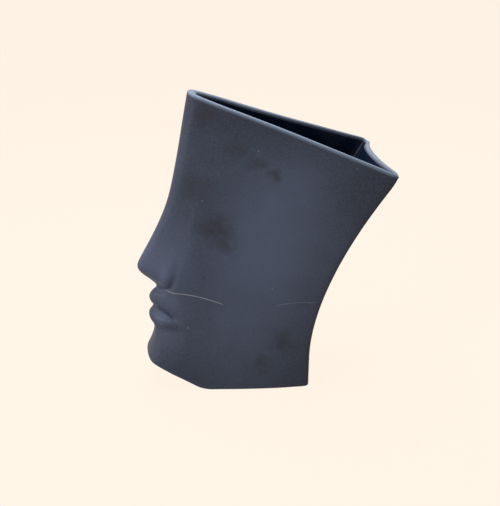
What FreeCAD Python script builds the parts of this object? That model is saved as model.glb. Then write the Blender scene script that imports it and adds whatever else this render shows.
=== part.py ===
import FreeCAD, Part
import math
import os
import Sketcher
from FreeCAD import Placement, Vector

# Face vase: a slip-cast ceramic vase in the shape of a flattened head that looks towards -X.
# Frame: +Z up, Y = 0 is the mid-plane, and the origin is on the flat foot face, under the jaw and neck.

# Driving sizes in millimetres
SIZES = (
    # heights above the foot face: the rim at its front and back, the nose tip and the mouth line
    ("rim_height", 261.7),
    ("rim_back_height", 199.2),
    ("nose_height", 112.0),
    ("mouth_height", 74.0),
    # how far ahead of the origin the rim, nose tip, lips, chin and cheeks stand
    ("rim_reach", 51.3),
    ("nose_reach", 99.8),
    ("lip_reach", 91.3),
    ("chin_reach", 96.0),
    ("cheek_reach", 57.0),
    # the flat foot, and how much the slanted face under the jaw climbs from it to the chin
    ("foot_front_reach", 46.5),
    ("foot_back_reach", 46.3),
    ("jaw_rise", 30.6),
    # the back of the head: its reach at the rim, its widths, its corners and how deep it is dished
    ("rim_back_reach", 111.7),
    ("foot_back_width", 66.0),
    ("rim_back_width", 100.5),
    ("back_corner", 10.0),
    ("back_dish_foot", 2.5),
    ("back_dish_rim", 8.0),
    # the sides: as wide as the jaw in front, swollen at the foot and drawn in at the rim
    ("jaw_width", 51.0),
    ("side_swell_foot", 0.2),
    ("side_draw_rim", 5.6),
    # how far each side turns in before the back corner
    ("back_turn", 3.0),
    # roundings of the forehead, of nose and lips, and of the chin, which is flat in its middle
    ("ridge_radius", 10.5),
    ("lip_radius", 6.5),
    ("chin_radius", 12.0),
    ("chin_flat", 11.0),
    # where the ridge beside the nose is crispest, and how far above and below that it softens
    ("nose_ridge_height", 128.0),
    ("nose_ridge_span", 46.0),
    # the wing of the nose, the crease behind it, and the fall of the mouth towards its corners
    ("wing_bulge", 1.8),
    ("wing_crease", 1.4),
    ("mouth_drop", 5.0),
    # the casting: its walls, its rolled rim and its softened foot
    ("wall", 4.4),
    ("front_wall", 7.0),
    ("floor_thickness", 5.0),
    ("rim_roll", 2.6),
    ("foot_rounding", 1.2),
    # the glaze lining, which stops under the rim
    ("glaze_thickness", 0.4),
    ("glaze_below_rim", 3.0),
    # how far the cutting blocks run past the head
    ("overrun", 60.0),
)

# The head is cut into slanted sections. Each runs from the front of the face to the back of the head.
# A row holds the shares that shape one section:
# height, reach, rounding, chin flat, cheek reach, cheek width, wing, crease, mouth drop
# Forehead: heights run from the nose tip, 0, to the rim, 1, and reaches from the rim's, 0, to the nose's, 1.
FOREHEAD_SHARES = (
    (1.195, -0.105, 1.05, 0.09, 0.386, 0.69, 0.0, 0.0, 0.0),
    (1.000, 0.000, 1.00, 0.09, 0.456, 0.61, 0.0, 0.0, 0.0),
    (0.845, 0.095, 0.95, 0.09, 0.526, 0.57, 0.0, 0.0, 0.0),
    (0.685, 0.185, 0.95, 0.05, 0.600, 0.55, 0.0, 0.0, 0.0),
    (0.537, 0.282, 0.90, 0.05, 0.700, 0.57, 0.0, 0.0, 0.0),
    (0.389, 0.389, 0.86, 0.00, 0.810, 0.61, 0.0, 0.0, 0.0),
    (0.255, 0.567, 0.74, 0.00, 0.880, 0.67, 0.0, 0.0, 0.0),
    (0.134, 0.764, 0.66, 0.00, 0.970, 0.720, 0.3, 0.0, 0.0),
    (0.046, 0.921, 0.62, 0.00, 1.090, 0.720, 0.7, -0.1, 0.0),
    (0.002, 0.987, 0.62, 0.00, 1.140, 0.715, 0.9, -0.1, 0.0),
)
# Nose and upper lip: heights run from the mouth, 0, to the nose tip, 1, and reaches are of the lips' reach.
LIP_SHARES = (
    (0.865, 1.055, 1.00, 0.00, 1.18, 0.710, 1.1, 0.0, 0.0),
    (0.692, 0.964, 1.00, 0.00, 1.20, 0.705, 0.9, 0.0, 0.0),
    (0.490, 0.886, 1.00, 0.00, 1.16, 0.725, 0.1, 0.0, 0.15),
    (0.391, 0.948, 1.00, 0.00, 1.10, 0.745, 0.3, -0.2, 0.3),
    (0.250, 0.992, 1.00, 0.00, 1.07, 0.765, 0.5, -0.4, 0.5),
    (0.116, 0.969, 1.00, 0.00, 1.05, 0.790, 0.6, -0.45, 0.85),
    (0.005, 0.936, 1.00, 0.00, 1.04, 0.810, 0.6, -0.45, 1.0),
)
# Lower lip and chin: heights and reaches are shares of the mouth's height and of the chin's reach.
CHIN_SHARES = (
    (0.940, 0.944, 0.54, 0.05, 1.03, 0.830, 0.6, -0.45, 1.0),
    (0.860, 0.944, 0.58, 0.14, 1.03, 0.850, 0.6, -0.45, 0.85),
    (0.795, 0.908, 0.71, 0.27, 1.03, 0.875, 0.6, -0.45, 0.65),
    (0.708, 0.902, 0.79, 0.45, 1.035, 0.905, 0.55, -0.4, 0.5),
    (0.597, 0.920, 0.88, 0.64, 1.05, 0.935, 0.5, -0.35, 0.2),
    (0.446, 0.966, 0.96, 0.82, 1.07, 0.970, 0.4, -0.2, 0.0),
    (0.322, 1.016, 1.00, 0.95, 1.07, 0.990, 0.4, -0.1, 0.0),
    (0.135, 0.990, 1.00, 1.00, 1.07, 1.000, 0.4, 0.0, 0.0),
    (-0.108, 0.967, 1.00, 1.00, 1.07, 1.000, 0.4, 0.0, 0.0),
)
# Places along a section: turns round its front in degrees, then on to the cheek, then to the back corner.
FRONT_TURNS = (38.0, 68.0)
CHEEK_SHARES = (0.36, 0.66, 0.84)
# The first place behind the cheek is near it beside the nose, for a crisper ridge, and further off elsewhere.
RIDGE_SHARES = (0.30, 0.08)
SIDE_SHARES = (0.46, 0.75)
# How much of the wing's bulge and of the mouth's drop these places take, from the front backwards.
WING_SHARES = (0.5, 1.0)
DROP_SHARES = (0.0, 0.25, 0.45, 0.8, 1.0, 0.8, 0.3)
# The back of the head rises plumb for this share of its height, and sweeps out by this power above it.
PLUMB_SHARE = 0.155
SWEEP_POWER = 1.75
# The head widens upwards by this power, and each side turns in most at two thirds of its run, by this peak.
FLARE_POWER = 1.8
TURN_PEAK = 6.75
# How far the back wall is dished beside its corner, at a quarter of its width and in its middle.
DISH_SHARES = (0.12, 0.75, 1.1)
# How far the back corner stands out of its rounding, and how much of the wall's inset comes back inside.
CORNER_SHARE = 0.175
INNER_CORNER_SHARE = 0.35
# Depths of the close rows that roll the rim.
ROLL_SHARES = (0.0, 1.0, 2.3, 5.0)
DEGREE = 3
EDGE_POINTS = 9
TOUCH_SHARE = 0.002

doc = FreeCAD.newDocument("face_vase")
sheet = doc.addObject("Spreadsheet::Sheet", "sizes")
for line, (name, value) in enumerate(SIZES, 1):
    sheet.set("A%d" % line, name)
    sheet.set("B%d" % line, str(value))
    sheet.setAlias("B%d" % line, name)
doc.recompute()


def size(name):
    return float(sheet.get(name))


def between(low, high, share):
    return low + (high - low) * share


def section_rows():
    """One row for each section, from above the rim down: height, reach and rounding, then its shares."""
    rows = []
    for height, reach, *shares in FOREHEAD_SHARES:
        rows.append((between(size("nose_height"), size("rim_height"), height),
                     between(size("rim_reach"), size("nose_reach"), reach),
                     size("ridge_radius"), *shares))
    for height, reach, *shares in LIP_SHARES:
        rows.append((between(size("mouth_height"), size("nose_height"), height),
                     size("lip_reach") * reach, size("lip_radius"), *shares))
    for height, reach, *shares in CHIN_SHARES:
        rows.append((size("mouth_height") * height,
                     size("chin_reach") * reach, size("chin_radius"), *shares))
    return rows


def rim_rows():
    """Close rows from the rim's own plane down, which roll the rim."""
    rim, below = section_rows()[1:3]
    steps = [size("rim_roll") * share / (rim[0] - below[0]) for share in ROLL_SHARES]
    return [tuple(between(high, low, step) for high, low in zip(rim, below)) for step in steps]


def back_reach(height):
    """How far behind the origin the back of the head stands at a height."""
    rise = (height / size("rim_back_height") - PLUMB_SHARE) / (1 - PLUMB_SHARE)
    return between(size("foot_back_reach"), size("rim_back_reach"), max(rise, 0) ** SWEEP_POWER)


def half_section(row, front_inset, inset):
    """Poles of the near half of a section, from the middle of the face to the middle of the back."""
    height, reach, radius, rounding, flat, cheek, cheek_width, wing, crease, drop = row
    rim_share = height / size("rim_height")
    back_height = size("rim_back_height") * rim_share
    front_plane, back_plane = -reach, back_reach(back_height)
    front_x, back_x = front_plane + front_inset, back_plane - inset
    flare = max(rim_share, 0) ** FLARE_POWER
    back_y = between(size("foot_back_width"), size("rim_back_width"), flare) / 2 - inset
    # round the front
    front_radius = radius * rounding - inset
    places = [(front_x, 0)]
    for turn in FRONT_TURNS:
        angle = math.radians(turn)
        places.append((front_x + front_radius * (1 - math.cos(angle)),
                       size("chin_flat") * flat + front_radius * math.sin(angle)))
    # along the side of the face to the cheek, over the wing of the nose and its crease
    start_x, start_y = places[-1]
    cheek_x = -size("cheek_reach") * cheek
    cheek_y = size("jaw_width") * cheek_width / 2 - inset
    bulges = [size("wing_bulge") * wing * share for share in WING_SHARES]
    bulges.append(-size("wing_crease") * crease)
    for share, bulge in zip(CHEEK_SHARES, bulges):
        places.append((between(start_x, cheek_x, share), between(start_y, cheek_y, share) + bulge))
    places.append((cheek_x, cheek_y))
    # along the flat side, which swells at the foot, is drawn in at the rim and turns in before the back corner
    swell = between(size("side_swell_foot"), -size("side_draw_rim"), rim_share)
    crisp = max(1 - ((height - size("nose_ridge_height")) / size("nose_ridge_span")) ** 2, 0)
    corner = size("back_corner")
    corner_step = corner / math.hypot(back_x - cheek_x, back_y - cheek_y)
    for share in (between(*RIDGE_SHARES, crisp), *SIDE_SHARES, 1 - corner_step):
        bow = swell * 4 * share * (1 - share) + size("back_turn") * TURN_PEAK * share ** 2 * (1 - share)
        places.append((between(cheek_x, back_x, share), between(cheek_y, back_y, share) + bow))
    # round the back corner and across the dished back
    corner_out = corner * CORNER_SHARE + inset * INNER_CORNER_SHARE
    places.append((back_x + corner_out, back_y + corner_out))
    dish = between(size("back_dish_foot"), size("back_dish_rim"), rim_share)
    for share, y in zip(DISH_SHARES, (back_y - corner, back_y / 2, 0)):
        places.append((back_x - dish * share, y))
    # lay the places in the section's slanted plane; the mouth falls away from it towards its corners
    poles = []
    drops = DROP_SHARES + (0,) * (len(places) - len(DROP_SHARES))
    for (x, y), drop_share in zip(places, drops):
        along = (x - front_plane) / (back_plane - front_plane)
        fall = size("mouth_drop") * drop * drop_share
        poles.append(Vector(x, -y, between(height, back_height, along) - fall))
    return poles


def ring(row, front_inset, inset):
    """All the poles of a section, with the seam on the middle of the back."""
    near_half = half_section(row, front_inset, inset)
    far_half = [Vector(pole.x, -pole.y, pole.z) for pole in reversed(near_half[1:-1])]
    seam = len(near_half) - 2
    whole = near_half + far_half
    return whole[seam:] + whole[:seam]


def skin(rings):
    """One smooth surface on the poles of the rings, closed around, and the wires at its two ends."""
    around, spans = len(rings[0]), len(rings) - DEGREE
    surface = Part.BSplineSurface()
    surface.buildFromPolesMultsKnots(
        [[poles[place] for poles in rings] for place in range(around)],
        [1] * (around + 1),
        [DEGREE + 1] + [1] * (spans - 1) + [DEGREE + 1],
        list(range(around + 1)),
        list(range(spans + 1)),
        True,
        False,
        DEGREE,
        DEGREE,
    )
    return surface.toShape(), [Part.Wire([surface.vIso(end).toShape()]) for end in (0, spans)]


def closed_form(name, faces):
    """A solid that is shut in by the faces."""
    form = doc.addObject("Part::Feature", name)
    shell = Part.Shell(faces)
    shell.sewShape()
    form.Shape = Part.Solid(shell)
    return form


def head_form(name, front_inset, inset):
    """The whole head as a solid, drawn in by the insets, from above the rim to below the foot."""
    rows = section_rows()[:1] + rim_rows() + section_rows()[2:]
    face, ends = skin([ring(row, front_inset, inset) for row in rows])
    return closed_form(name, [face] + [Part.Face(end) for end in ends])


def sleeve_form(name):
    """The wall of the head as a sleeve: up the outside, over the rolled rim and down the inside."""
    rows = rim_rows() + section_rows()[2:]
    outside = [ring(row, 0, 0) for row in rows]
    inside = [ring(row, size("front_wall"), size("wall")) for row in rows]
    face, ends = skin(outside[::-1] + inside)
    return closed_form(name, [face, Part.makeFace(ends, "Part::FaceMakerBullseye")])


def side_block(name, floor, jaw_inset, rim_inset):
    """A block wider than the head. Its side view is a flat floor, the slant under the jaw and the rim."""
    jaw_slope = "(sizes.jaw_rise / (sizes.chin_reach - sizes.foot_front_reach))"
    rim_slope = "((sizes.rim_height - sizes.rim_back_height) / (sizes.rim_reach + sizes.rim_back_reach))"
    front = "(-sizes.nose_reach - sizes.overrun)"
    back = "(sizes.rim_back_reach + sizes.overrun)"
    toe = f"(-sizes.foot_front_reach + ({jaw_inset} * sqrt(1 + {jaw_slope} ^ 2) - {floor}) / {jaw_slope})"
    jaw_front = f"({floor} + ({toe} - {front}) * {jaw_slope})"
    rim_top = f"(sizes.rim_height - {rim_inset} * sqrt(1 + {rim_slope} ^ 2))"
    rim_front = f"({rim_top} - ({front} + sizes.rim_reach) * {rim_slope})"
    rim_back = f"({rim_top} - ({back} + sizes.rim_reach) * {rim_slope})"
    corners = ((toe, floor), (back, floor), (back, rim_back), (front, rim_front), (front, jaw_front))
    start_shares = ((-1, 0), (1, 0), (1, 1), (-1, 2), (-1, 1))
    body = doc.addObject("PartDesign::Body", name)
    sketch = body.newObject("Sketcher::SketchObject", name + "_outline")
    side_plane = [item for item in body.Origin.OriginFeatures if item.Role == "XZ_Plane"][0]
    sketch.AttachmentSupport = [(side_plane, "")]
    sketch.MapMode = "FlatFace"
    starts = [Vector(x, z) * size("rim_height") for x, z in start_shares]
    for start, end in zip(starts, starts[1:] + starts[:1]):
        sketch.addGeometry(Part.LineSegment(start, end))
    for line, (start, places) in enumerate(zip(starts, corners)):
        sketch.addConstraint(Sketcher.Constraint("Coincident", line, 2, (line + 1) % len(corners), 1))
        for kind, place, value in zip(("DistanceX", "DistanceY"), places, start):
            number = sketch.addConstraint(Sketcher.Constraint(kind, -1, 1, line, 1, value))
            sketch.setExpression("Constraints[%d]" % number, place)
    pad = body.newObject("PartDesign::Pad", name + "_pad")
    pad.Profile = sketch
    pad.SideType = "Symmetric"
    pad.setExpression("Length", "2 * (sizes.rim_back_width + sizes.overrun)")
    return body


def combine(kind, name, base, tool):
    result = doc.addObject(kind, name)
    result.Base = base
    result.Tool = tool
    return result


def foot_edges(shape):
    """Numbers of the edges that lie in the foot face or in the slanted face under the jaw."""
    toe = Vector(-size("foot_front_reach"), 0, 0)
    run = size("chin_reach") - size("foot_front_reach")
    normals = (Vector(0, 0, 1), Vector(size("jaw_rise"), 0, run).normalize())
    touch = size("floor_thickness") * TOUCH_SHARE
    numbers = []
    for number, edge in enumerate(shape.Edges, 1):
        points = edge.discretize(EDGE_POINTS)
        if any(all(abs((point - toe).dot(normal)) < touch for point in points) for normal in normals):
            numbers.append(number)
    return numbers


def vase_body(core):
    """The casting: the sleeve with its floor, cut flat at the foot and on the slant under the jaw."""
    sleeve = sleeve_form("sleeve")
    above_floor = side_block("above_floor", "sizes.floor_thickness", "sizes.wall", "-sizes.overrun")
    above_foot = side_block("above_foot", "0", "0", "-sizes.overrun")
    plug = combine("Part::Cut", "floor_plug", core, above_floor)
    closed_sleeve = combine("Part::Fuse", "closed_sleeve", sleeve, plug)
    vessel = combine("Part::Common", "vessel", closed_sleeve, above_foot)
    doc.recompute()
    body = doc.addObject("Part::Fillet", "vase_body")
    body.Base = vessel
    rounding = size("foot_rounding")
    body.Edges = [(number, rounding, rounding) for number in foot_edges(vessel.Shape)]
    body.Label = "vase_body"
    body.Placement = Placement()
    return body, vessel


def interior_glaze(core, vessel):
    """The glossy lining: it fills the inside to just under the rim, less the same space drawn in by it."""
    under_rim = side_block("under_rim", "sizes.floor_thickness", "sizes.wall", "sizes.glaze_below_rim")
    block = combine("Part::Common", "inside_block", core, under_rim)
    inside = combine("Part::Cut", "inside", block, vessel)
    drawn_in = head_form("drawn_in", size("front_wall") + size("glaze_thickness"),
                         size("wall") + size("glaze_thickness"))
    above_glaze = side_block("above_glaze", "(sizes.floor_thickness + sizes.glaze_thickness)",
                             "(sizes.wall + sizes.glaze_thickness)", "-sizes.overrun")
    bare_inside = combine("Part::Common", "bare_inside", drawn_in, above_glaze)
    glaze = combine("Part::Cut", "interior_glaze", inside, bare_inside)
    glaze.Label = "interior_glaze"
    glaze.Placement = Placement()
    return glaze


core = head_form("core", size("front_wall") / 2, size("wall") / 2)
vase, vessel = vase_body(core)
glaze = interior_glaze(core, vessel)
doc.recompute()

for item in doc.Objects:
    if "Invalid" in item.State or "Error" in item.State:
        raise RuntimeError("%s failed: %s" % (item.Name, item.State))
for node in (vase, glaze):
    if node.Shape.isNull() or not node.Shape.isValid():
        raise RuntimeError("%s has no valid shape" % node.Label)

os.makedirs("parts", exist_ok=True)
for node in (vase, glaze):
    node.Shape.exportStep(os.path.join("parts", node.Label + ".step"))
    print("%s: %d solid, %.0f cubic mm" % (node.Label, len(node.Shape.Solids), node.Shape.Volume))
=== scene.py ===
import math

import bmesh
import bpy
import mathutils.geometry
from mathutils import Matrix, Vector


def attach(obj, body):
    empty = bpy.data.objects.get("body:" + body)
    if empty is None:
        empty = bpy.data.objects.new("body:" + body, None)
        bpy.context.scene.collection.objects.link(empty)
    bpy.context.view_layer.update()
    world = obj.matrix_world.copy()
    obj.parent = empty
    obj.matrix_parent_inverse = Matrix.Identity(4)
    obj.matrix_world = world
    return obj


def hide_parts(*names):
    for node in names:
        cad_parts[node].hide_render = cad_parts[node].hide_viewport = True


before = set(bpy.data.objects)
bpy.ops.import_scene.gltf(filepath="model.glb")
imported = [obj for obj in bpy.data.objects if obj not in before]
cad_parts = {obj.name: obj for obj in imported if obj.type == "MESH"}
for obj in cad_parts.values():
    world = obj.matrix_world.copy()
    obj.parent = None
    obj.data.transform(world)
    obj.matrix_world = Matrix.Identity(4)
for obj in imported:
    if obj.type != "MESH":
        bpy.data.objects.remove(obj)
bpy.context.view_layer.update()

MM = 0.001
NODE_BODY = "root"

# Driving sizes of the head in millimetres. +Z is up, -X is the way the face looks, Y = 0 is its mid-plane.
RIM_HEIGHT, RIM_BACK_HEIGHT, NOSE_HEIGHT, MOUTH_HEIGHT = 261.7, 199.2, 112.0, 74.0
RIM_REACH, NOSE_REACH, LIP_REACH, CHIN_REACH, CHEEK_REACH = 51.3, 99.8, 91.3, 96.0, 57.0
FOOT_FRONT_REACH, FOOT_BACK_REACH, JAW_RISE = 46.5, 46.3, 30.6
RIM_BACK_REACH, FOOT_BACK_WIDTH, RIM_BACK_WIDTH, BACK_CORNER = 111.7, 66.0, 100.5, 10.0
BACK_DISH_FOOT, BACK_DISH_RIM = 2.5, 8.0
JAW_WIDTH, SIDE_SWELL_FOOT, SIDE_DRAW_RIM, BACK_TURN = 51.0, 0.2, 5.6, 3.0
NOSE_RIDGE_HEIGHT, NOSE_RIDGE_SPAN = 128.0, 46.0
RIDGE_RADIUS, LIP_RADIUS, CHIN_RADIUS, CHIN_FLAT = 10.5, 6.5, 12.0, 11.0
WING_BULGE, WING_CREASE, MOUTH_DROP = 1.8, 1.4, 5.0
WALL, FRONT_WALL, FLOOR_THICKNESS, RIM_ROLL, FOOT_ROUNDING = 4.4, 7.0, 5.0, 2.6, 1.2

# One row for each slanted section of the head, front to back:
# height, reach, rounding, chin flat, cheek reach, cheek width, wing, crease, mouth drop
# Forehead: heights run from the nose tip, 0, to the rim, 1, and reaches from the rim's, 0, to the nose's, 1.
FOREHEAD_SHARES = (
    (1.195, -0.105, 1.05, 0.09, 0.386, 0.69, 0.0, 0.0, 0.0),
    (1.000, 0.000, 1.00, 0.09, 0.456, 0.61, 0.0, 0.0, 0.0),
    (0.845, 0.095, 0.95, 0.09, 0.526, 0.57, 0.0, 0.0, 0.0),
    (0.685, 0.185, 0.95, 0.05, 0.600, 0.55, 0.0, 0.0, 0.0),
    (0.537, 0.282, 0.90, 0.05, 0.700, 0.57, 0.0, 0.0, 0.0),
    (0.389, 0.389, 0.86, 0.00, 0.810, 0.61, 0.0, 0.0, 0.0),
    (0.255, 0.567, 0.74, 0.00, 0.880, 0.67, 0.0, 0.0, 0.0),
    (0.134, 0.764, 0.66, 0.00, 0.970, 0.720, 0.3, 0.0, 0.0),
    (0.046, 0.921, 0.62, 0.00, 1.090, 0.720, 0.7, -0.1, 0.0),
    (0.002, 0.987, 0.62, 0.00, 1.140, 0.715, 0.9, -0.1, 0.0),
)
# Nose and upper lip: heights run from the mouth, 0, to the nose tip, 1, and reaches are of the lips' reach.
LIP_SHARES = (
    (0.865, 1.055, 1.00, 0.00, 1.18, 0.710, 1.1, 0.0, 0.0),
    (0.692, 0.964, 1.00, 0.00, 1.20, 0.705, 0.9, 0.0, 0.0),
    (0.490, 0.886, 1.00, 0.00, 1.16, 0.725, 0.1, 0.0, 0.15),
    (0.391, 0.948, 1.00, 0.00, 1.10, 0.745, 0.3, -0.2, 0.3),
    (0.250, 0.992, 1.00, 0.00, 1.07, 0.765, 0.5, -0.4, 0.5),
    (0.116, 0.969, 1.00, 0.00, 1.05, 0.790, 0.6, -0.45, 0.85),
    (0.005, 0.936, 1.00, 0.00, 1.04, 0.810, 0.6, -0.45, 1.0),
)
# Lower lip and chin: heights and reaches are shares of the mouth's height and of the chin's reach.
CHIN_SHARES = (
    (0.940, 0.944, 0.54, 0.05, 1.03, 0.830, 0.6, -0.45, 1.0),
    (0.860, 0.944, 0.58, 0.14, 1.03, 0.850, 0.6, -0.45, 0.85),
    (0.795, 0.908, 0.71, 0.27, 1.03, 0.875, 0.6, -0.45, 0.65),
    (0.708, 0.902, 0.79, 0.45, 1.035, 0.905, 0.55, -0.4, 0.5),
    (0.597, 0.920, 0.88, 0.64, 1.05, 0.935, 0.5, -0.35, 0.2),
    (0.446, 0.966, 0.96, 0.82, 1.07, 0.970, 0.4, -0.2, 0.0),
    (0.322, 1.016, 1.00, 0.95, 1.07, 0.990, 0.4, -0.1, 0.0),
    (0.135, 0.990, 1.00, 1.00, 1.07, 1.000, 0.4, 0.0, 0.0),
    (-0.108, 0.967, 1.00, 1.00, 1.07, 1.000, 0.4, 0.0, 0.0),
)
# Where the points of a section lie. The front turns off its flat tip at two angles, in degrees. Shares place the
# points from there to the cheek, then the first one behind the cheek where its bend is soft and where it is crisp,
# then the rest of the side. The wing bulges and the mouth drops by a share at each point.
FRONT_TURNS = (38.0, 68.0)
CHEEK_SHARES = (0.36, 0.66, 0.84)
RIDGE_SHARES = (0.30, 0.08)
SIDE_SHARES = (0.46, 0.75)
WING_SHARES = (0.5, 1.0)
DROP_SHARES = (0.0, 0.25, 0.45, 0.8, 1.0, 0.8, 0.3)
# The back stands plumb for a share of its height and then sweeps out by a power, and the sides flare by another.
PLUMB_SHARE = 0.155
SWEEP_POWER = 1.75
FLARE_POWER = 1.8
# Brings share ** 2 * (1 - share), the side's turn towards the back, to a peak of one
TURN_PEAK = 6.75
# Depth of the dished back at each point, fullness of its corners outside and inside, and rows of the rolled rim
DISH_SHARES = (0.12, 0.75, 1.1)
CORNER_SHARE = 0.175
INNER_CORNER_SHARE = 0.35
ROLL_SHARES = (0.0, 1.0, 2.3, 5.0)

# The camera, in metres and degrees: swung a little towards the face and raised
CAMERA_TARGET = Vector((-0.0015, 0.0, 0.1179))
CAMERA_DISTANCE = 0.720
CAMERA_SWING = -7.88
CAMERA_RISE = 25.22
IMAGE_SIZE = (500, 506)
FOCAL_PIXELS = 840.0
SENSOR = 36.0
NEAREST_SEEN = 0.05

# Sides of the shell while it is made, as material numbers
OUTSIDE, INSIDE, UNDER = 0, 1, 2
SMOOTHING_LEVELS = 3
# The round toe where the slant under the jaw meets the foot, and the steps of its arc and of the rounded foot edge
TOE_RADIUS, TOE_STEPS, ROLL_STEPS = 28.0, 6, 4

# Lines carved into the near half of the head: points with the depth there, below nothing where it is raised.
# The mouth is a narrow groove over the raised lower lip, the crease runs round the raised wing of the nose, and the
# press softens the back corner of the rim. Each line has a width, and three widths off nothing moves.
MOUTH_LINE = ((-89, 0, 76.5, 1.5), (-86.4, -3.2, 75.5, 2.0), (-83.3, -6, 74.6, 3.2), (-77.8, -9.6, 72.2, 3.6),
              (-72.3, -13.2, 69, 2.4), (-68, -16.3, 66.4, 0.5))
LOWER_LIP = ((-87, -5, 66.5, -0.8), (-82.7, -8.6, 65.4, -2.8), (-77, -12, 64, -3.6), (-71.3, -15.4, 62.6, -2.4),
             (-65.8, -18.3, 61.6, -0.5))
UNDER_LIP = ((-83.5, -10, 56.5, 0.6), (-76, -14, 56, 0.8), (-66, -18.5, 56, 0.4))
WING_CREASE_LINE = ((-64.8, -16.8, 119, 0.0), (-65.8, -16.8, 114.2, 0.2), (-67, -17.4, 106.2, 0.6),
                    (-68.9, -17.2, 101.7, 0.9), (-71.5, -15.9, 96.9, 1.2), (-76.4, -8.6, 91.1, 1.4),
                    (-81, -4, 90.5, 0.8))
NOSE_WING = ((-73.5, -16, 114, -0.3), (-73.8, -15.6, 107, -1.2), (-75.5, -14, 101, -1.6), (-78, -11, 98, -0.8))
TIP_PRESS = ((112, -47.5, 199.5, 2.2), (109, -48.5, 193, 0.5))
CARVED_LINES = ((MOUTH_LINE, 1.4), (LOWER_LIP, 4.4), (UNDER_LIP, 3.6), (WING_CREASE_LINE, 2.5),
                (NOSE_WING, 5.0), (TIP_PRESS, 4.0))
CARVING_REACH = 3

# Colours and grain of the black bisque. Painted light makes a broad leaning oval on each side paler, whose middle,
# half-width and half-length are in millimetres and lean in degrees, and painted highlights pale soft spots on the
# face and the lower lip. Painted shade darkens its edges and a band under the rim. Spots have a place and radius in
# millimetres, and a strength.
BISQUE_DEEP, BISQUE_PALE, BISQUE_GRAIN = "#353841", "#525662", "#5f626d"
LIT_OVAL_MIDDLE, LIT_OVAL_WIDTH, LIT_OVAL_LENGTH, LIT_OVAL_LEAN = (8, 0, 120), 78, 175, 16.5
FACE_HIGHLIGHTS = (((-82, 0, 105), 75, 0.8), ((-79, -10, 66), 14, 1.25), ((-79, 10, 66), 14, 1.25))
# Painted shade: spots at the back edge, the foot's back corner and the top of the face, their colour, and a band
# under the rim with its strength and reach in millimetres
SHADED_EDGE_SPOTS = (((120, 0, 185), 90, 1.0), ((64, 0, -4), 62, 0.55), ((-40, 0, 262), 48, 0.75))
EDGE_SHADE, RIM_SHADE, RIM_SHADE_REACH = "#1b1e26", 0.45, 36
# Sizes in millimetres of the clouds, the grain, the broken edges of smudges and the sag of the surface, with the
# shares or depths they work by
CLOUD, CLOUD_SHARE, GRAIN, GRAIN_SHARE = 34, 0.9, 1.5, 0.3
SMUDGE_BREAK, SMUDGE_DRIFT = 11, 24
TOOTH_DEPTH, SAG, SAG_DEPTH = 0.05, 34, 0.35
BISQUE_SHEEN = 0.25
# Painted light: the last colour pales the rim's top band, which fades in between two depths in millimetres under its
# plane
SMUDGE, PALE_CLAY, LIT_RIM = "#302d31", "#b3aba6", "#70777f"
RIM_LIGHT_START, RIM_LIGHT_END = 3.6, 1.2
# Marks on the near cheek: place and radius in millimetres, and strength
SMUDGES = (
    ((-33, -18, 150), 22, 0.85),
    ((-26, -19, 138), 16, 0.75),
    ((-48, -13, 184), 18, 0.6),
    ((-39, -13, 243), 15, 0.75),
    ((-14, -18, 216), 12, 0.6),
    ((2, -21, 206), 10, 0.7),
    ((16, -25, 197), 10, 0.75),
    ((22, -33, 47), 17, 0.7),
    ((4, -33, 26), 14, 0.6),
    ((37, -36, 82), 9, 0.2),
    ((-43, -21, 105), 2.5, 0.8),
)
PALE_SPECKS = (
    ((2.5, -20.5, 215.8), 1.0, 0.35),
    ((13.1, -30.8, 98.2), 0.9, 0.35),
    ((-19, -27, 70.2), 0.9, 0.4),
    ((9.8, -31.3, 68.6), 0.9, 0.3),
    ((-42.4, -15, 173.8), 1.0, 0.3),
    ((77.6, -40.6, 204.4), 0.9, 0.3),
    ((-57.9, -21.4, 60.7), 1.3, 0.4),
)
# Thin scratches: points of x and z and half a width in millimetres, and strength
HAIRLINES = (
    (((-77.5, 91.2), (-73.5, 91.9), (-70, 92.3), (-65, 92.5), (-59.2, 91.8), (-47.5, 89.4), (-36.7, 86),
      (-27.7, 82.5)), 0.26, 0.7),
    (((14.7, 81.6), (28.1, 84.7), (39.6, 85.6), (49.6, 85.2)), 0.25, 0.2),
)

# The poured glaze inside: its colours, and the size of its pools and of its runs with their stretch and depth
GLAZE_DEEP, GLAZE_PALE, GLAZE_POOL = "#08111e", "#142236", 22
GLAZE_RUN, GLAZE_RUN_STRETCH, GLAZE_RUN_DEPTH = 9, 0.3, 0.25

# The studio: paper that reads as one pale colour, grey where it only lights the object
PAPER, PAPER_SHADOW, PAPER_GLOW = "#fff3e5", "#332f2b", 0.975
FLOOR_GREY, FLOOR_REACH = "#8a8a8a", 6.0
AIR, AIR_STRENGTH = "#b8d4e6", 0.26
# Lamp panels: name, place and width in metres, power in watts, colour
PANELS = (
    ("overhead panel", (0.0, 0.1, 1.4), 1.2, 18.5, "#dfe6ff"),
    ("low overhead panel", (0.0, 0.15, 0.75), 0.5, 3.5, "#f0f6ff"),
    ("face side panel", (-0.62, -0.33, 0.42), 0.3, 4.0, "#e2eaff"),
)


def between(low, high, share):
    return low + (high - low) * share


def section_rows():
    """One row for each section, from above the rim down: height, reach and rounding, then its shares."""
    rows = []
    for height, reach, *shares in FOREHEAD_SHARES:
        rows.append((between(NOSE_HEIGHT, RIM_HEIGHT, height), between(RIM_REACH, NOSE_REACH, reach),
                     RIDGE_RADIUS, *shares))
    for height, reach, *shares in LIP_SHARES:
        rows.append((between(MOUTH_HEIGHT, NOSE_HEIGHT, height), LIP_REACH * reach, LIP_RADIUS, *shares))
    for height, reach, *shares in CHIN_SHARES:
        rows.append((MOUTH_HEIGHT * height, CHIN_REACH * reach, CHIN_RADIUS, *shares))
    return rows


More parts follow.
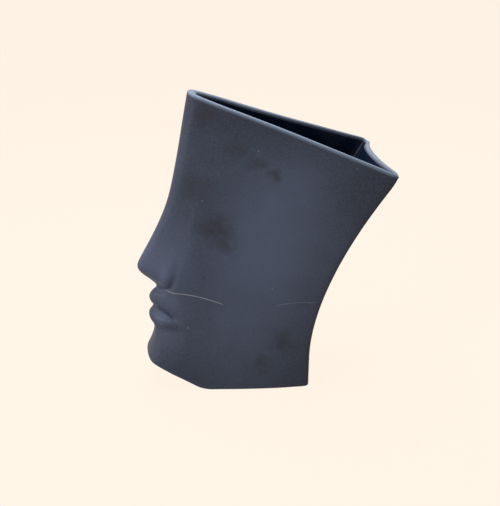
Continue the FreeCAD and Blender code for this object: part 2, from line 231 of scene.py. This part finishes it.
def rim_rows():
    """Close rows from the rim's own plane down, which roll the rim."""
    rim, below = section_rows()[1:3]
    steps = [RIM_ROLL * share / (rim[0] - below[0]) for share in ROLL_SHARES]
    return [tuple(between(high, low, step) for high, low in zip(rim, below)) for step in steps]


def back_reach(height):
    """How far behind the origin the back of the head stands at a height."""
    rise = (height / RIM_BACK_HEIGHT - PLUMB_SHARE) / (1 - PLUMB_SHARE)
    return between(FOOT_BACK_REACH, RIM_BACK_REACH, max(rise, 0) ** SWEEP_POWER)


def half_section(row, front_inset, inset):
    """Points of the near half of a section, from the middle of the face to the middle of the back."""
    height, reach, radius, rounding, flat, cheek, cheek_width, wing, crease, drop = row
    rim_share = height / RIM_HEIGHT
    back_height = RIM_BACK_HEIGHT * rim_share
    front_plane, back_plane = -reach, back_reach(back_height)
    front_x, back_x = front_plane + front_inset, back_plane - inset
    flare = max(rim_share, 0) ** FLARE_POWER
    back_y = between(FOOT_BACK_WIDTH, RIM_BACK_WIDTH, flare) / 2 - inset
    front_radius = radius * rounding - inset
    places = [(front_x, 0)]
    for turn in FRONT_TURNS:
        angle = math.radians(turn)
        places.append((front_x + front_radius * (1 - math.cos(angle)),
                       CHIN_FLAT * flat + front_radius * math.sin(angle)))
    start_x, start_y = places[-1]
    cheek_x = -CHEEK_REACH * cheek
    cheek_y = JAW_WIDTH * cheek_width / 2 - inset
    bulges = [WING_BULGE * wing * share for share in WING_SHARES]
    bulges.append(-WING_CREASE * crease)
    for share, bulge in zip(CHEEK_SHARES, bulges):
        places.append((between(start_x, cheek_x, share), between(start_y, cheek_y, share) + bulge))
    places.append((cheek_x, cheek_y))
    swell = between(SIDE_SWELL_FOOT, -SIDE_DRAW_RIM, rim_share)
    corner_step = BACK_CORNER / math.hypot(back_x - cheek_x, back_y - cheek_y)
    crisp = max(1 - ((height - NOSE_RIDGE_HEIGHT) / NOSE_RIDGE_SPAN) ** 2, 0)
    for share in (between(*RIDGE_SHARES, crisp), *SIDE_SHARES, 1 - corner_step):
        bow = swell * 4 * share * (1 - share) + BACK_TURN * TURN_PEAK * share ** 2 * (1 - share)
        places.append((between(cheek_x, back_x, share), between(cheek_y, back_y, share) + bow))
    corner_out = BACK_CORNER * CORNER_SHARE + inset * INNER_CORNER_SHARE
    places.append((back_x + corner_out, back_y + corner_out))
    dish = between(BACK_DISH_FOOT, BACK_DISH_RIM, rim_share)
    for share, y in zip(DISH_SHARES, (back_y - BACK_CORNER, back_y / 2, 0)):
        places.append((back_x - dish * share, y))
    points = []
    drops = DROP_SHARES + (0,) * (len(places) - len(DROP_SHARES))
    for (x, y), drop_share in zip(places, drops):
        along = (x - front_plane) / (back_plane - front_plane)
        fall = MOUTH_DROP * drop * drop_share
        points.append(Vector((x, -y, between(height, back_height, along) - fall)) * MM)
    return points


def ring(row, front_inset, inset):
    near_half = half_section(row, front_inset, inset)
    return near_half + [Vector((p.x, -p.y, p.z)) for p in reversed(near_half[1:-1])]


def skin_mesh(name, outside, inside):
    """A tube, closed around, that runs up the outside and down the inside."""
    rings = outside[::-1] + inside
    rows, places = len(rings), len(rings[0])
    bm = bmesh.new()
    bmesh.ops.create_grid(bm, x_segments=places, y_segments=rows - 1, size=1.0)
    for face in bm.faces:
        row = (1 - face.calc_center_median().y) / 2 * (rows - 1)
        face.material_index = INSIDE if row > len(outside) else OUTSIDE
    for vert in bm.verts:
        place = round((vert.co.x + 1) / 2 * places)
        row = round((1 - vert.co.y) / 2 * (rows - 1))
        vert.co = rings[row][place % places]
    bmesh.ops.remove_doubles(bm, verts=bm.verts, dist=0.001 * MM)
    bmesh.ops.recalc_face_normals(bm, faces=bm.faces)
    mesh = bpy.data.meshes.new(name)
    bm.to_mesh(mesh)
    bm.free()
    return mesh


def add_piece(name, mesh):
    piece = bpy.data.objects.new(name, mesh)
    bpy.context.scene.collection.objects.link(piece)
    return piece


def subdivided(mesh, name, levels):
    """The mesh with its smooth subdivision made real."""
    piece = add_piece(name, mesh)
    smooth = piece.modifiers.new("smooth skin", "SUBSURF")
    smooth.levels = smooth.render_levels = levels
    depsgraph = bpy.context.evaluated_depsgraph_get()
    finished = bpy.data.meshes.new_from_object(piece.evaluated_get(depsgraph))
    bpy.data.objects.remove(piece)
    return finished


def parts_of(bm, side):
    """The faces of one side of the shell, with their edges and corners."""
    parts = set()
    for face in bm.faces:
        if face.material_index == side:
            parts.update((face, *face.edges, *face.verts))
    return list(parts)


def jaw_angle():
    return math.atan2(JAW_RISE, CHIN_REACH - FOOT_FRONT_REACH)


def toe_centre():
    """Centre of the arc that joins the foot's plane to the slant under the jaw."""
    return Vector((TOE_RADIUS * math.tan(jaw_angle() / 2) - FOOT_FRONT_REACH, 0, TOE_RADIUS)) * MM


def facing(angle):
    """Straight down at the foot, leaning forwards round the toe to square with the slant under the jaw."""
    return Vector((-math.sin(angle), 0, -math.cos(angle)))


def cut_under(bm, side, foot_lift, jaw_lift):
    """Cuts one side of the shell off above the planes of the foot, the toe and the jaw, and gives the loop left."""
    for step in range(TOE_STEPS + 1):
        down = facing(jaw_angle() * step / TOE_STEPS)
        lift = between(foot_lift, jaw_lift, step / TOE_STEPS)
        bmesh.ops.bisect_plane(bm, geom=parts_of(bm, side), plane_no=down, clear_outer=True,
                               plane_co=toe_centre() + down * (TOE_RADIUS - lift) * MM)
    return [edge for edge in bm.edges if edge.is_boundary and edge.link_faces[0].material_index == side]


def roll_under(bm, loop):
    """Rolls the cut edge of the outside under to the foot and the jaw, and gives the loop left."""
    bm.normal_update()
    centre = toe_centre()
    starts = {}
    for vert in {vert for edge in loop for vert in edge.verts}:
        lean = math.atan2(centre.x - vert.co.x, centre.z - vert.co.z)
        down = facing(min(max(lean, 0), jaw_angle()))
        out = (vert.normal - down * vert.normal.dot(down)).normalized()
        starts[vert] = (vert.co.copy(), down, out)
    for step in range(1, ROLL_STEPS + 1):
        turn = math.pi / 2 * step / ROLL_STEPS
        made = bmesh.ops.extrude_edge_only(bm, edges=loop)["geom"]
        moved = {}
        for vert in made:
            if isinstance(vert, bmesh.types.BMVert):
                source = next(edge.other_vert(vert) for edge in vert.link_edges if edge.other_vert(vert) in starts)
                place, down, out = starts[source]
                vert.co = place + (down * math.sin(turn) - out * (1 - math.cos(turn))) * FOOT_ROUNDING * MM
                moved[vert] = starts[source]
        starts = moved
        loop = [edge for edge in made if isinstance(edge, bmesh.types.BMEdge) and edge.is_boundary]
    return loop


def close_under(bm, loop):
    """Closes a loop with one face, and parts it at the toe, where the planes meet."""
    for face in bmesh.ops.edgeloop_fill(bm, edges=loop)["faces"]:
        face.material_index = UNDER
    for step in range(TOE_STEPS):
        bend = facing(jaw_angle() * (step + 0.5) / TOE_STEPS)
        bmesh.ops.bisect_plane(bm, geom=parts_of(bm, UNDER), plane_co=toe_centre() + bend * TOE_RADIUS * MM,
                               plane_no=Vector((1, 0, 0)))


def carve(bm, line, width):
    """Presses a soft groove of a width into the outside of the face along a line, on both sides of the head."""
    points = [(Vector(place) * MM, depth) for *place, depth in line]
    bm.normal_update()
    moves = {}
    for vert in bm.verts:
        near = Vector((vert.co.x, -abs(vert.co.y), vert.co.z))
        if all(face.material_index == INSIDE for face in vert.link_faces):
            continue
        best = None
        for (start, start_depth), (end, end_depth) in zip(points, points[1:]):
            share = mathutils.geometry.intersect_point_line(near, start, end)[1]
            share = min(max(share, 0), 1)
            distance = (near - start.lerp(end, share)).length
            if best is None or distance < best[0]:
                best = (distance, between(start_depth, end_depth, share))
        distance, depth = best
        if distance < CARVING_REACH * width * MM:
            moves[vert] = vert.normal * depth * math.exp(-(distance / (width * MM)) ** 2) * MM
    for vert, move in moves.items():
        vert.co -= move


def head_shell():
    """The casting, from its coarse rings to the closed and smooth shell."""
    rows = rim_rows() + section_rows()[2:]
    outside = [ring(row, 0, 0) for row in rows]
    inside = [ring(row, FRONT_WALL, WALL) for row in rows]
    mesh = subdivided(skin_mesh("vase_shell_cage", outside, inside), "vase_shell_cage", SMOOTHING_LEVELS)
    bm = bmesh.new()
    bm.from_mesh(mesh)
    for line, width in CARVED_LINES:
        carve(bm, line, width)
    loop = cut_under(bm, OUTSIDE, FOOT_ROUNDING, FOOT_ROUNDING)
    close_under(bm, roll_under(bm, loop))
    close_under(bm, cut_under(bm, INSIDE, FLOOR_THICKNESS, WALL))
    bmesh.ops.recalc_face_normals(bm, faces=bm.faces)
    for face in bm.faces:
        face.smooth = face.material_index != UNDER
        face.material_index = 0
    bm.to_mesh(mesh)
    bm.free()
    return mesh


def linear(hex_colour):
    """sRGB hex to linear red, green, blue and alpha."""
    parts = [int(hex_colour[i:i + 2], 16) / 255 for i in (1, 3, 5)]
    return tuple(p / 12.92 if p <= 0.04045 else ((p + 0.055) / 1.055) ** 2.4 for p in parts) + (1.0,)


def per_mm(size):
    """Texture scale that makes a pattern's features about size millimetres."""
    return 1 / (size * MM)


def add_node(tree, kind, inputs=None, **settings):
    """Adds a shader node with its settings; each input is a value or another node's output."""
    made = tree.nodes.new("ShaderNode" + kind)
    for name, value in settings.items():
        setattr(made, name, value)
    for socket, value in (inputs or {}).items():
        if isinstance(value, bpy.types.NodeSocket):
            tree.links.new(value, made.inputs[socket])
        else:
            made.inputs[socket].default_value = value
    return made


def new_material(name):
    made = bpy.data.materials.new(name)
    made.use_nodes = True
    return made, made.node_tree, made.node_tree.nodes["Principled BSDF"]


def rim_up():
    """Straight up from the rim's slanted plane."""
    lean = math.atan2(RIM_HEIGHT - RIM_BACK_HEIGHT, RIM_REACH + RIM_BACK_REACH)
    return Vector((math.sin(lean), 0, math.cos(lean)))


def rim_level(rise):
    """How far a plane that lies rise millimetres over the rim's plane is from the origin."""
    return rim_up().dot(Vector((-RIM_REACH, 0, RIM_HEIGHT))) * MM + rise * MM


def spot(tree, place, centre, radius, strength):
    """A soft round mark: strength at its centre, nothing beyond its radius in millimetres."""
    away = add_node(tree, "VectorMath", {0: place, 1: Vector(centre) * MM}, operation="DISTANCE")
    return add_node(tree, "MapRange", {0: away.outputs["Value"], 1: radius * MM, 2: 0.0, 3: 0.0, 4: strength},
                    interpolation_type="SMOOTHSTEP").outputs[0]


def painted_side_light(tree, place):
    """Painted light: a broad soft oval in side view, one in its middle and nothing beyond its outline."""
    half_widths = (LIT_OVAL_WIDTH * MM, FLOOR_REACH, LIT_OVAL_LENGTH * MM)
    oval = add_node(tree, "Mapping", {"Vector": place, "Location": Vector(LIT_OVAL_MIDDLE) * MM,
                                      "Rotation": (0, math.radians(LIT_OVAL_LEAN), 0), "Scale": half_widths},
                    vector_type="TEXTURE")
    away = add_node(tree, "VectorMath", {0: oval.outputs[0]}, operation="LENGTH").outputs["Value"]
    return add_node(tree, "MapRange", {0: away, 1: 1.0, 2: 0.0, 3: 0.0, 4: 1.0},
                    interpolation_type="SMOOTHSTEP").outputs[0]


def strongest(tree, marks):
    """The strongest of several marks at each point."""
    total = marks[0]
    for mark in marks[1:]:
        total = add_node(tree, "Math", {0: total, 1: mark}, operation="MAXIMUM").outputs[0]
    return total


def hairline(tree, place, points, half_width, strength):
    """A thin mark on the near cheek along points of x and z in millimetres."""
    split = add_node(tree, "SeparateXYZ", {0: place})
    (x_start, x_end), heights = (points[0][0], points[-1][0]), [z for _, z in points]
    low, high = min(heights) - 1, max(heights) + 1
    along = add_node(tree, "MapRange", {0: split.outputs["X"], 1: x_start * MM, 2: x_end * MM, 3: 0.0, 4: 1.0})
    curve = add_node(tree, "FloatCurve", {1: along.outputs[0]})
    shape = curve.mapping.curves[0]
    shape.points[0].location = (0, (heights[0] - low) / (high - low))
    shape.points[1].location = (1, (heights[-1] - low) / (high - low))
    for x, z in points[1:-1]:
        shape.points.new((x - x_start) / (x_end - x_start), (z - low) / (high - low))
    curve.mapping.update()
    line = add_node(tree, "MapRange", {0: curve.outputs[0], 1: 0.0, 2: 1.0, 3: low * MM, 4: high * MM})
    off = add_node(tree, "Math", {0: split.outputs["Z"], 1: line.outputs[0]}, operation="SUBTRACT")
    off = add_node(tree, "Math", {0: off.outputs[0]}, operation="ABSOLUTE")
    mark = add_node(tree, "MapRange", {0: off.outputs[0], 1: half_width * 2 * MM, 2: half_width * MM / 2,
                                       3: 0.0, 4: strength}).outputs[0]
    # It fades at both its ends and stays on the near side
    for socket, start, end in (("X", x_start - 1, x_start + 4), ("X", x_end + 0.5, x_end - 2), ("Y", 0, -2)):
        fade = add_node(tree, "MapRange", {0: split.outputs[socket], 1: start * MM, 2: end * MM, 3: 0.0, 4: 1.0})
        mark = add_node(tree, "Math", {0: mark, 1: fade.outputs[0]}, operation="MULTIPLY").outputs[0]
    return mark


def tinted(tree, factor, colour, other):
    """Colour where factor is nothing, and the other colour where it is one."""
    mix = add_node(tree, "Mix", {0: factor, 6: colour, 7: other}, data_type="RGBA")
    return mix.outputs[2]


def black_bisque():
    """Matte black bisque: body-stained slip, cast, sponged and fired bare, so it is dry and soft to light."""
    made, tree, shader = new_material("matte black bisque")
    place = add_node(tree, "TexCoord").outputs["Object"]
    # Slow clouds, a few centimetres wide, where the clay dried unevenly, over painted light: a broad pale oval on
    # each side and painted highlights on the face and the lower lip
    clouds = add_node(tree, "TexNoise", {"Vector": place, "Scale": per_mm(CLOUD), "Detail": 5.0,
                                         "Roughness": 0.62, "Distortion": 0.4}).outputs[0]
    painted_light = strongest(tree, [painted_side_light(tree, place), *(spot(tree, place, *mark) for mark in FACE_HIGHLIGHTS)])
    tone = add_node(tree, "Math", {0: clouds, 1: CLOUD_SHARE, 2: painted_light}, operation="MULTIPLY_ADD").outputs[0]
    tone = add_node(tree, "MapRange", {0: tone, 1: CLOUD_SHARE / 2, 2: CLOUD_SHARE / 2 + 1, 3: 0.0,
                                       4: 1.0}).outputs[0]
    colour = tinted(tree, tone, linear(BISQUE_DEEP), linear(BISQUE_PALE))
    # Painted shade: darker towards the back edge, the foot's back corner and the top of the face, and in a band
    # under the rim
    side_view = add_node(tree, "VectorMath", {0: place, 1: (1, 0, 1)}, operation="MULTIPLY").outputs[0]
    edges = [spot(tree, side_view, *edge) for edge in SHADED_EDGE_SPOTS]
    rise = add_node(tree, "VectorMath", {0: place, 1: rim_up()}, operation="DOT_PRODUCT").outputs["Value"]
    edges.append(add_node(tree, "MapRange", {0: rise, 1: rim_level(-RIM_SHADE_REACH), 2: rim_level(-RIM_LIGHT_START),
                                             3: 0.0, 4: RIM_SHADE}, interpolation_type="SMOOTHSTEP").outputs[0])
    edges = strongest(tree, edges)
    colour = tinted(tree, edges, colour, linear(EDGE_SHADE))
    # The body's own grain, drawn coarser than its real tenths of a millimetre so that it shows
    grain = add_node(tree, "TexNoise", {"Vector": place, "Scale": per_mm(GRAIN), "Detail": 2.0,
                                        "Roughness": 0.7}).outputs[0]
    grainy = add_node(tree, "MapRange", {0: grain, 1: 0.3, 2: 0.7, 3: 0.0, 4: GRAIN_SHARE}).outputs[0]
    colour = tinted(tree, grainy, colour, linear(BISQUE_GRAIN))
    # Smudges from hands and sponge, with broken edges
    drift = add_node(tree, "TexNoise", {"Vector": place, "Scale": per_mm(SMUDGE_BREAK), "Detail": 4.0})
    nudge = add_node(tree, "VectorMath", {0: drift.outputs[1], 1: (0.5, 0.5, 0.5)}, operation="SUBTRACT")
    nudge = add_node(tree, "VectorMath", {0: nudge.outputs[0], "Scale": SMUDGE_DRIFT * MM}, operation="SCALE")
    astray = add_node(tree, "VectorMath", {0: place, 1: nudge.outputs[0]}, operation="ADD").outputs[0]
    smudges = strongest(tree, [spot(tree, astray, *mark) for mark in SMUDGES])
    colour = tinted(tree, smudges, colour, linear(SMUDGE))
    # Painted light: the band along the top of the rim is painted paler, where the light from above falls on it
    painted_rim_light = add_node(tree, "MapRange", {0: rise, 1: rim_level(-RIM_LIGHT_START), 2: rim_level(-RIM_LIGHT_END), 3: 0.0,
                                       4: 1.0}, interpolation_type="SMOOTHSTEP").outputs[0]
    colour = tinted(tree, painted_rim_light, colour, linear(LIT_RIM))
    # Grog specks and small chips show paler
    pale = [spot(tree, place, *mark) for mark in PALE_SPECKS]
    pale += [hairline(tree, place, *mark) for mark in HAIRLINES]
    colour = tinted(tree, strongest(tree, pale), colour, linear(PALE_CLAY))
    tree.links.new(colour, shader.inputs["Base Color"])
    # Dry clay scatters light: rougher where the clouds are pale, with little sheen at the usual index of fired clay
    rough = add_node(tree, "MapRange", {0: clouds, 1: 0.3, 2: 0.7, 3: 0.5, 4: 0.62}).outputs[0]
    tree.links.new(rough, shader.inputs["Roughness"])
    shader.inputs["IOR"].default_value = 1.5
    shader.inputs["Specular IOR Level"].default_value = BISQUE_SHEEN
    # The tooth of the clay to the touch, over the slow sag that a casting takes in firing
    tooth = add_node(tree, "Bump", {"Height": grain, "Distance": TOOTH_DEPTH * MM, "Strength": 0.5})
    sag = add_node(tree, "TexNoise", {"Vector": place, "Scale": per_mm(SAG), "Detail": 1.0}).outputs[0]
    waves = add_node(tree, "Bump", {"Height": sag, "Distance": SAG_DEPTH * MM, "Strength": 1.0,
                                    "Normal": tooth.outputs[0]})
    tree.links.new(waves.outputs[0], shader.inputs["Normal"])
    return made


def dark_glaze():
    """Black gloss glaze, poured in and drained: a wet shine with slow runs, in darker and paler pools."""
    made, tree, shader = new_material("poured black gloss glaze")
    place = add_node(tree, "TexCoord").outputs["Object"]
    pool = add_node(tree, "TexNoise", {"Vector": place, "Scale": per_mm(GLAZE_POOL), "Detail": 3.0}).outputs[0]
    colour = tinted(tree, pool, linear(GLAZE_DEEP), linear(GLAZE_PALE))
    tree.links.new(colour, shader.inputs["Base Color"])
    shader.inputs["Roughness"].default_value = 0.14
    shader.inputs["IOR"].default_value = 1.52
    runs = add_node(tree, "Mapping", {"Vector": place, "Scale": (1, 1, GLAZE_RUN_STRETCH)}).outputs[0]
    runs = add_node(tree, "TexNoise", {"Vector": runs, "Scale": per_mm(GLAZE_RUN), "Detail": 1.0}).outputs[0]
    bump = add_node(tree, "Bump", {"Height": runs, "Distance": GLAZE_RUN_DEPTH * MM, "Strength": 1.0})
    tree.links.new(bump.outputs[0], shader.inputs["Normal"])
    return made


def seen_directly(tree):
    """One for the camera's rays and for those that gloss or glass sends on, nothing for the light on the object."""
    rays = add_node(tree, "LightPath").outputs
    seen = rays["Is Camera Ray"]
    for other in ("Is Glossy Ray", "Is Transmission Ray"):
        seen = add_node(tree, "Math", {0: seen, 1: rays[other]}, operation="MAXIMUM").outputs[0]
    return seen


def floor_paper():
    """Pale paper sweep: even to the eye, with the object's shadow, and a plain grey to the light it returns."""
    made, tree, shader = new_material("pale floor paper")
    shader.inputs["Base Color"].default_value = linear(FLOOR_GREY)
    shader.inputs["Roughness"].default_value = 1.0
    shader.inputs["Specular IOR Level"].default_value = 0.0
    glow = add_node(tree, "Emission", {"Color": linear(PAPER), "Strength": PAPER_GLOW})
    matte = add_node(tree, "BsdfDiffuse", {"Color": linear(PAPER_SHADOW)})
    paper = add_node(tree, "AddShader", {0: glow.outputs[0], 1: matte.outputs[0]})
    mix = add_node(tree, "MixShader", {0: seen_directly(tree), 1: shader.outputs[0], 2: paper.outputs[0]})
    tree.links.new(mix.outputs[0], tree.nodes["Material Output"].inputs["Surface"])
    return made


def floor():
    bm = bmesh.new()
    bmesh.ops.create_grid(bm, x_segments=1, y_segments=1, size=FLOOR_REACH)
    mesh = bpy.data.meshes.new("floor")
    bm.to_mesh(mesh)
    bm.free()
    made = add_piece("floor", mesh)
    made.data.materials.append(floor_paper())


def studio_air():
    """Even light from all round, and the paper's colour wherever it is seen."""
    world = bpy.data.worlds.new("studio air")
    world.use_nodes = True
    bpy.context.scene.world = world
    tree = world.node_tree
    light = tree.nodes["Background"]
    light.inputs["Color"].default_value = linear(AIR)
    light.inputs["Strength"].default_value = AIR_STRENGTH
    paper = add_node(tree, "Background", {"Color": linear(PAPER), "Strength": 1.0})
    mix = add_node(tree, "MixShader", {0: seen_directly(tree), 1: light.outputs[0], 2: paper.outputs[0]})
    tree.links.new(mix.outputs[0], tree.nodes["World Output"].inputs["Surface"])


def camera():
    data = bpy.data.cameras.new("camera")
    made = bpy.data.objects.new("camera", data)
    bpy.context.scene.collection.objects.link(made)
    swing, rise = math.radians(CAMERA_SWING), math.radians(CAMERA_RISE)
    back = Vector((math.sin(swing) * math.cos(rise), -math.cos(swing) * math.cos(rise), math.sin(rise)))
    made.location = CAMERA_TARGET + back * CAMERA_DISTANCE
    made.rotation_euler = back.to_track_quat("Z", "Y").to_euler()
    data.sensor_width = SENSOR
    data.lens = FOCAL_PIXELS * SENSOR / max(IMAGE_SIZE)
    data.clip_start = NEAREST_SEEN
    bpy.context.scene.camera = made


def lamp(name, place, size, power, colour):
    """A soft square panel, size metres wide, that faces the middle of the object."""
    data = bpy.data.lights.new(name, "AREA")
    data.size = size
    data.energy = power
    data.color = linear(colour)[:3]
    made = bpy.data.objects.new(name, data)
    bpy.context.scene.collection.objects.link(made)
    made.location = place
    made.rotation_euler = (made.location - CAMERA_TARGET).to_track_quat("Z", "Y").to_euler()


camera()
floor()
vase = add_piece("vase_shell", head_shell())
vase.data.materials.append(black_bisque())
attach(vase, NODE_BODY)
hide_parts("vase_body")
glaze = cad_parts["interior_glaze"]
glaze.material_slots[0].material = dark_glaze()

studio_air()
for panel in PANELS:
    lamp(*panel)
bpy.context.scene.view_settings.view_transform = "Standard"
